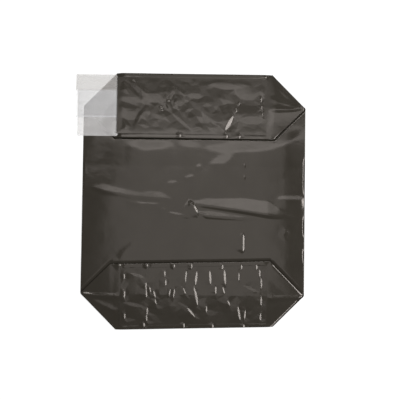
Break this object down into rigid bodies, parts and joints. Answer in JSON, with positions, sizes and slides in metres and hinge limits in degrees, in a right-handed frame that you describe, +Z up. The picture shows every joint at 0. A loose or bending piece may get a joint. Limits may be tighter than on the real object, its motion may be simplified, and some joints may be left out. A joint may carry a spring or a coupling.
{
  "type": "block-bottom valve bag",
  "caption": "Empty block-bottom valve bag lying flat: a film-faced woven tube with square folded ends, each closed by a cover patch, and a clear film filling sleeve at one corner.",
  "frame": {"origin": "on the surface that the bag lies on, under the middle of the bag's width and halfway between the end fold lines", "axes": "+Z up out of the front of the lying bag, +Y along the bag's length towards the valve end, +X across it, away from the valve corner"},
  "size_m": [0.414, 0.4602, 0.0061],
  "materials": {
    "faced_fabric": "charcoal woven polypropylene under a smooth glossy film",
    "patch_fabric": "the same faced fabric, crumpled and welded on",
    "clear_film": "milky see-through film"
  },
  "bodies": {
    "root": {"bag_tube": "faced_fabric", "valve_end_patch": "patch_fabric", "bottom_end_patch": "patch_fabric", "valve_sleeve": "clear_film"}
  },
  "joints": []
}
